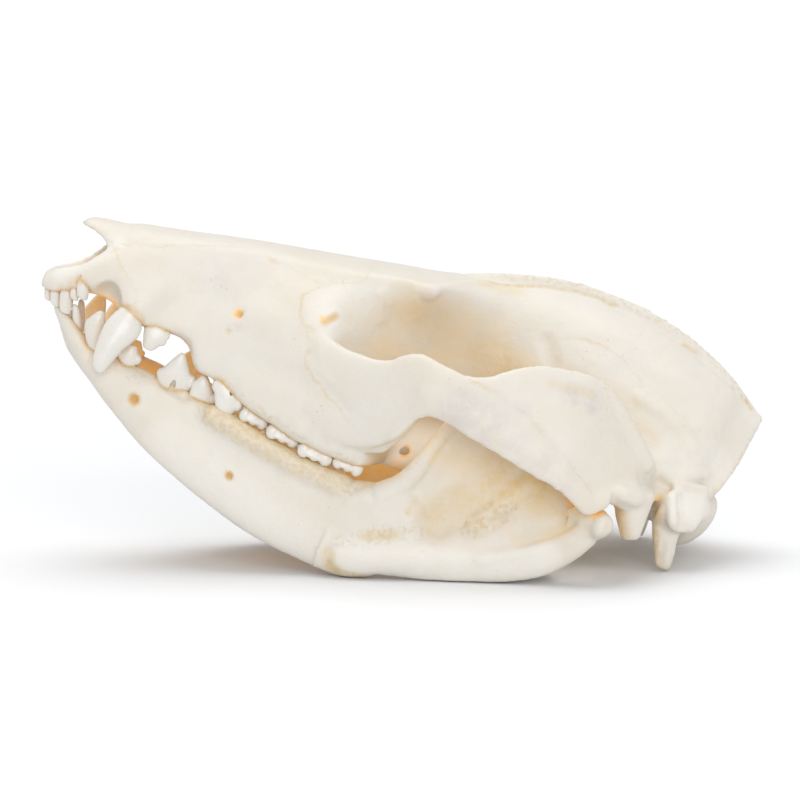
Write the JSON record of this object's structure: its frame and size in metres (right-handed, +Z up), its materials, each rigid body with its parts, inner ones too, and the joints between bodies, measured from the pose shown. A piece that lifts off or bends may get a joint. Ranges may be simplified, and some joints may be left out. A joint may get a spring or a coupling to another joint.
{
  "type": "opossum skull",
  "caption": "Skull of a marsupial with its lower jaw in place: long snout, crest along the top, wide cheek arches and mixed teeth; for display and teaching.",
  "frame": {"origin": "on the table, under the middle of the skull's box, with the skull lying on the lower edge of its jaw", "axes": "+X towards the back of the head, +Y towards the skull's right side, +Z up from the table"},
  "size_m": [0.1192, 0.069, 0.0572],
  "materials": {
    "bone": "dry cleaned bone, satin to matte, off-white with tan in the hollows",
    "enamel": "tooth enamel, ivory white, slightly glossy"
  },
  "bodies": {
    "root": {"cranium": "bone", "left_mandible": "bone", "lower_left_canine": "enamel", "lower_left_incisor_1": "enamel", "lower_left_incisor_2": "enamel", "lower_left_incisor_3": "enamel", "lower_left_incisor_4": "enamel", "lower_left_molar_1": "enamel", "lower_left_molar_2": "enamel", "lower_left_molar_3": "enamel", "lower_left_molar_4": "enamel", "lower_left_premolar_1": "enamel", "lower_left_premolar_2": "enamel", "lower_left_premolar_3": "enamel", "lower_right_canine": "enamel", "lower_right_incisor_1": "enamel", "lower_right_incisor_2": "enamel", "lower_right_incisor_3": "enamel", "lower_right_incisor_4": "enamel", "lower_right_molar_1": "enamel", "lower_right_molar_2": "enamel", "lower_right_molar_3": "enamel", "lower_right_molar_4": "enamel", "lower_right_premolar_1": "enamel", "lower_right_premolar_2": "enamel", "lower_right_premolar_3": "enamel", "right_mandible": "bone", "upper_left_canine": "enamel", "upper_left_incisor_1": "enamel", "upper_left_incisor_2": "enamel", "upper_left_incisor_3": "enamel", "upper_left_incisor_4": "enamel", "upper_left_incisor_5": "enamel", "upper_left_molar_1": "enamel", "upper_left_molar_2": "enamel", "upper_left_molar_3": "enamel", "upper_left_molar_4": "enamel", "upper_left_premolar_1": "enamel", "upper_left_premolar_3": "enamel", "upper_right_canine": "enamel", "upper_right_incisor_1": "enamel", "upper_right_incisor_2": "enamel", "upper_right_incisor_3": "enamel", "upper_right_incisor_4": "enamel", "upper_right_incisor_5": "enamel", "upper_right_molar_1": "enamel", "upper_right_molar_2": "enamel", "upper_right_molar_3": "enamel", "upper_right_molar_4": "enamel", "upper_right_premolar_1": "enamel", "upper_right_premolar_3": "enamel"}
  },
  "joints": []
}
